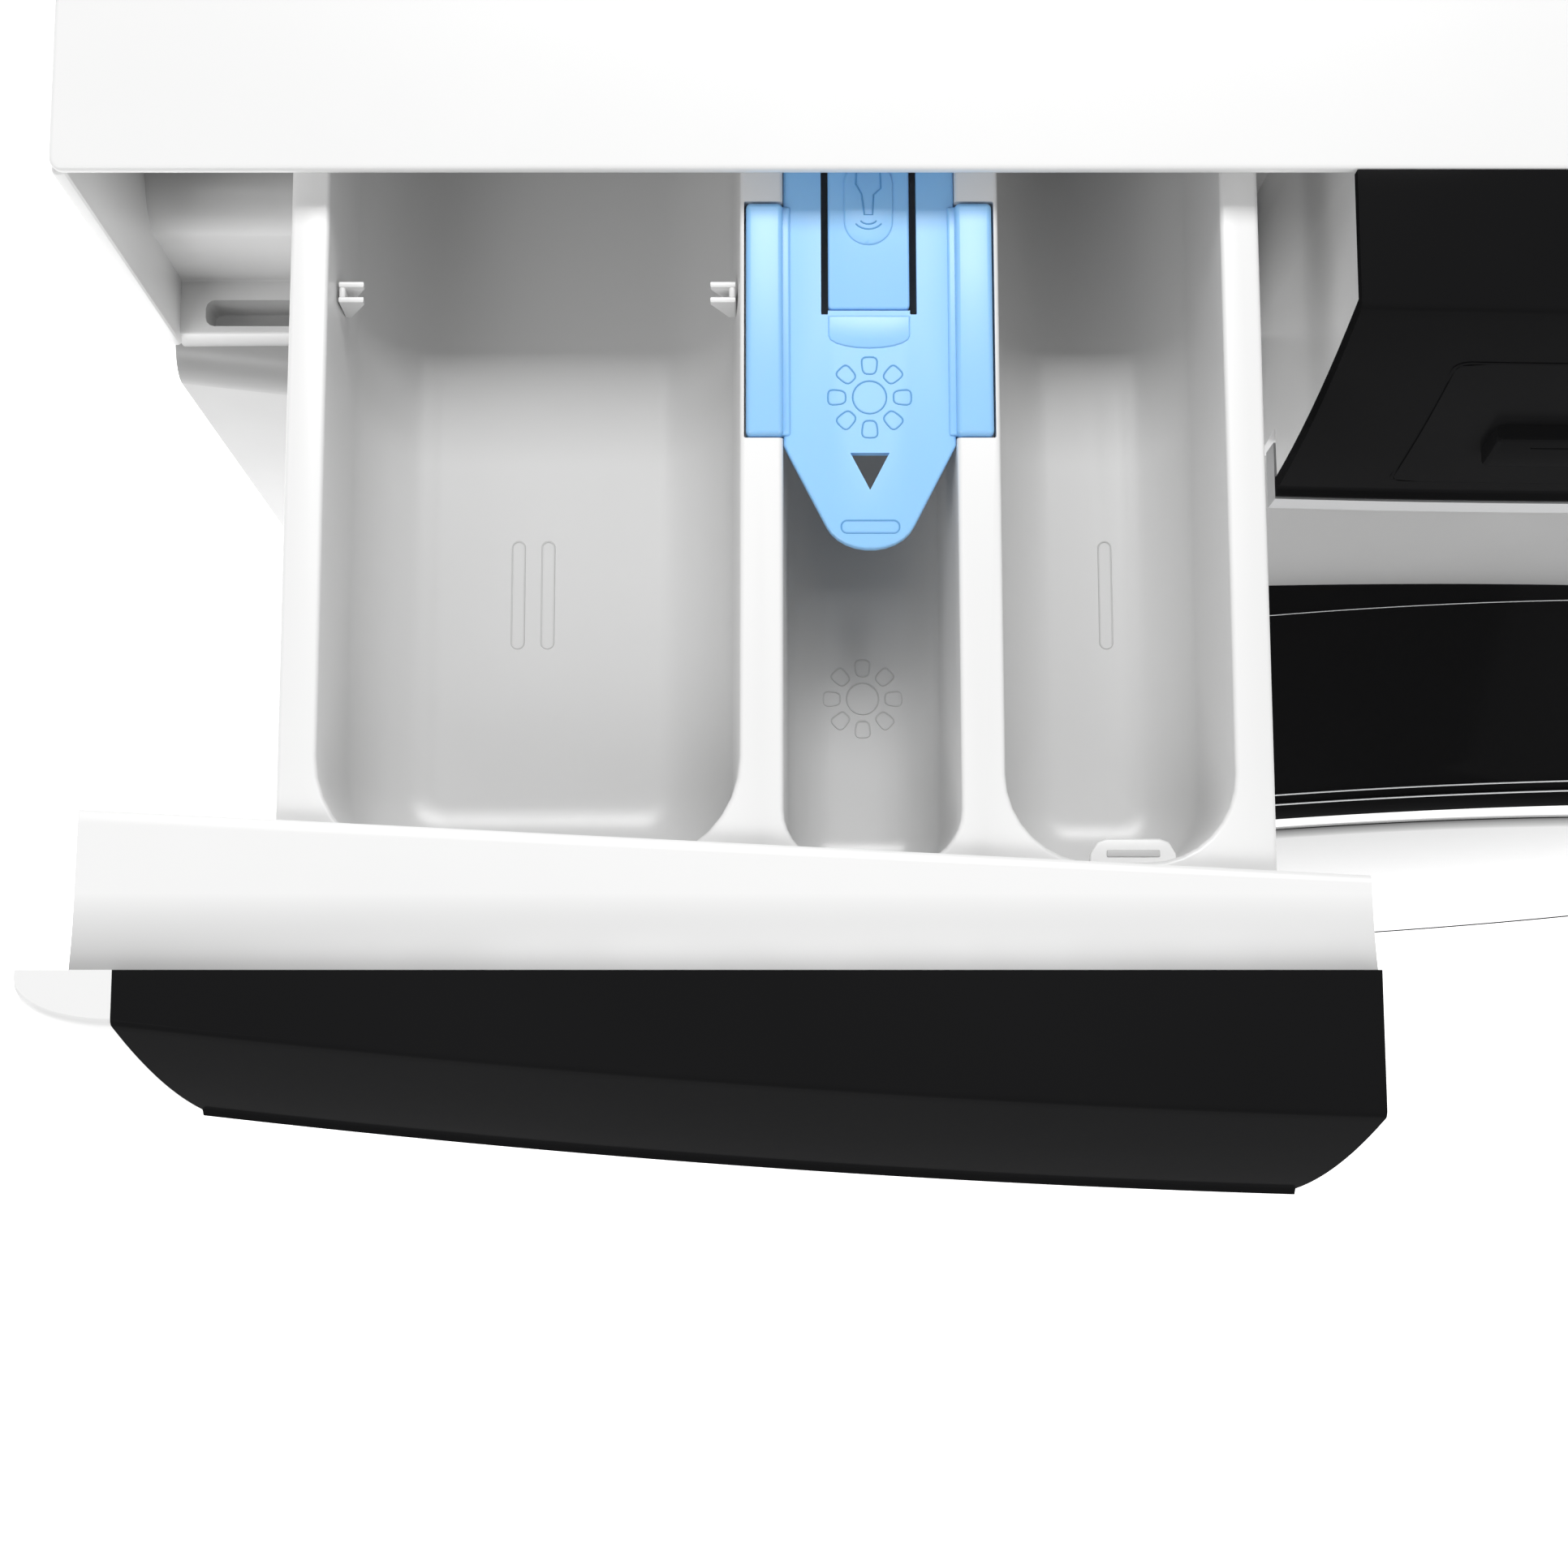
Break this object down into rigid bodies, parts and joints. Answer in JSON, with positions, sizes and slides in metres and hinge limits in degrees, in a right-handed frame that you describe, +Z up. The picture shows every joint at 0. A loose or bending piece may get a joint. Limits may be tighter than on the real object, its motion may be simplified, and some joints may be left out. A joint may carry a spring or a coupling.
{
  "type": "front load washing machine",
  "caption": "Front load washing machine with a pull-out detergent drawer, round glass door, suspended tub and belt-driven drum.",
  "frame": {"origin": "on the floor, under the middle of the machine's bounding box with the detergent drawer open", "axes": "+Z up, the front and the open drawer face -Y, +X to the right of someone facing the front is -X seen from behind; the drawer is on the -X side"},
  "size_m": [0.6, 0.73, 0.85],
  "materials": {
    "white_steel": "satin",
    "white_plastic": "satin",
    "black_gloss": "gloss",
    "light_grey": "satin",
    "plastic_grey": "satin",
    "blue_plastic": "satin",
    "steel": "satin",
    "silver": "polished",
    "rubber": "matt",
    "black_rubber": "matt",
    "iron": "matt",
    "aluminium": "satin",
    "board": "satin",
    "clear_glass": "gloss"
  },
  "bodies": {
    "cabinet": {"base_tray": "steel", "side_panel_left": "white_steel", "side_panel_right": "white_steel", "back_panel": "white_steel", "worktop": "white_plastic", "surround_frame": "white_plastic", "control_panel": "black_gloss", "panel_inlay": "black_gloss", "panel_trim": "light_grey", "control_board": "board", "dispenser_housing": "plastic_grey", "inlet_valve": "white_plastic", "fill_hose": "rubber", "door_lock": "white_plastic", "hinge_bracket": "aluminium", "front_panel": "white_steel", "kick_panel": "white_plastic", "drain_pump": "black_gloss", "drain_hose": "plastic_grey", "mains_gland": "black_rubber", "damper_cylinders": "plastic_grey", "levelling_feet": "black_rubber", "top_brace": "steel"},
    "tub": {"outer_tub_rear": "plastic_grey", "outer_tub_front": "plastic_grey", "front_counterweight": "iron", "top_counterweight": "iron", "heater": "steel", "drive_motor": "aluminium", "drum_bearings": "steel", "damper_rods": "steel", "suspension_springs": "steel", "door_gasket": "rubber", "tub_hoses": "black_rubber", "drive_belt": "black_rubber"},
    "drum": {"drum_shell": "steel", "drum_lifters": "light_grey", "drum_spider": "aluminium", "drum_shaft": "steel", "drum_pulley": "aluminium"},
    "motor_rotor": {"motor_pulley": "steel"},
    "door": {"door_ring": "black_gloss", "door_cover": "black_gloss", "door_inner_frame": "light_grey", "door_glass": "clear_glass", "door_trim_rings": "silver", "hinge_leaf": "aluminium"},
    "door_handle": {"door_handle": "black_gloss"},
    "drawer": {"drawer_tray": "white_plastic", "drawer_front": "white_plastic", "drawer_fascia": "black_gloss", "siphon_insert": "blue_plastic"},
    "release_tongue": {"release_tongue": "blue_plastic"},
    "programme_knob": {"programme_knob": "silver"},
    "start_button": {"start_button": "silver"},
    "push_key_1": {"push_key_1": "black_gloss"},
    "push_key_2": {"push_key_2": "black_gloss"},
    "push_key_3": {"push_key_3": "black_gloss"},
    "service_flap": {"service_flap": "white_plastic"},
    "filter_cap": {"filter_cap": "blue_plastic"}
  },
  "joints": [
    {"name": "drawer_slide", "type": "slide", "parent": "cabinet", "child": "drawer", "axis": [0, -1, 0], "range_m": [-0.1369, 0]},
    {"name": "tongue_press", "type": "hinge", "parent": "drawer", "child": "release_tongue", "pos_m": [-0.15835, -0.21217, 0.8385], "axis": [-1, 0, 0], "range_deg": [0, 5], "stiffness_Nm_per_rad": 1, "springref_deg": -1.72},
    {"name": "door_hinge", "type": "hinge", "parent": "cabinet", "child": "door", "pos_m": [-0.236, -0.23497, 0.382], "axis": [0, 0, -1], "range_deg": [0, 160]},
    {"name": "handle_pull", "type": "hinge", "parent": "door", "child": "door_handle", "pos_m": [0.2, -0.23097, 0.382], "axis": [0, 0, -1], "range_deg": [0, 10], "stiffness_Nm_per_rad": 4, "springref_deg": -5.73},
    {"name": "knob_turn", "type": "hinge", "parent": "cabinet", "child": "programme_knob", "pos_m": [0.1679, -0.21913, 0.8031], "axis": [0.0662, -0.9895, 0.1283], "continuous": true},
    {"name": "start_press", "type": "slide", "parent": "cabinet", "child": "start_button", "axis": [-0.0898, 0.9877, -0.1283], "range_m": [0, 0.0012], "stiffness_N_per_m": 800, "springref_m": -0.002},
    {"name": "key_1_press", "type": "slide", "parent": "cabinet", "child": "push_key_1", "axis": [0, 1, 0], "range_m": [0, 0.0015], "stiffness_N_per_m": 800, "springref_m": -0.002},
    {"name": "key_2_press", "type": "slide", "parent": "cabinet", "child": "push_key_2", "axis": [0, 1, 0], "range_m": [0, 0.0015], "stiffness_N_per_m": 800, "springref_m": -0.002},
    {"name": "key_3_press", "type": "slide", "parent": "cabinet", "child": "push_key_3", "axis": [0, 1, 0], "range_m": [0, 0.0015], "stiffness_N_per_m": 800, "springref_m": -0.002},
    {"name": "tub_bounce", "type": "slide", "parent": "cabinet", "child": "tub", "axis": [0, 0, 1], "range_m": [-0.008, 0.008], "stiffness_N_per_m": 15000, "springref_m": 0.03597, "deforming": ["suspension_springs", "door_gasket", "tub_hoses"]},
    {"name": "drum_spin", "type": "hinge", "parent": "tub", "child": "drum", "pos_m": [0, 0.00903, 0.382], "axis": [0, 1, 0], "continuous": true},
    {"name": "motor_spin", "type": "hinge", "parent": "tub", "child": "motor_rotor", "pos_m": [0.12, 0.20903, 0.085], "axis": [0, 1, 0], "continuous": true},
    {"name": "flap_hinge", "type": "hinge", "parent": "cabinet", "child": "service_flap", "pos_m": [0.205, -0.20299, 0.0266], "axis": [0.9967, 0.0815, 0], "range_deg": [0, 90]},
    {"name": "filter_turn", "type": "hinge", "parent": "cabinet", "child": "filter_cap", "pos_m": [0.205, -0.16097, 0.055], "axis": [0, -1, 0], "range_deg": [0, 90]}
  ],
  "couplings": [
    {"joint": "motor_spin", "follows": "drum_spin", "ratio": 13}
  ]
}
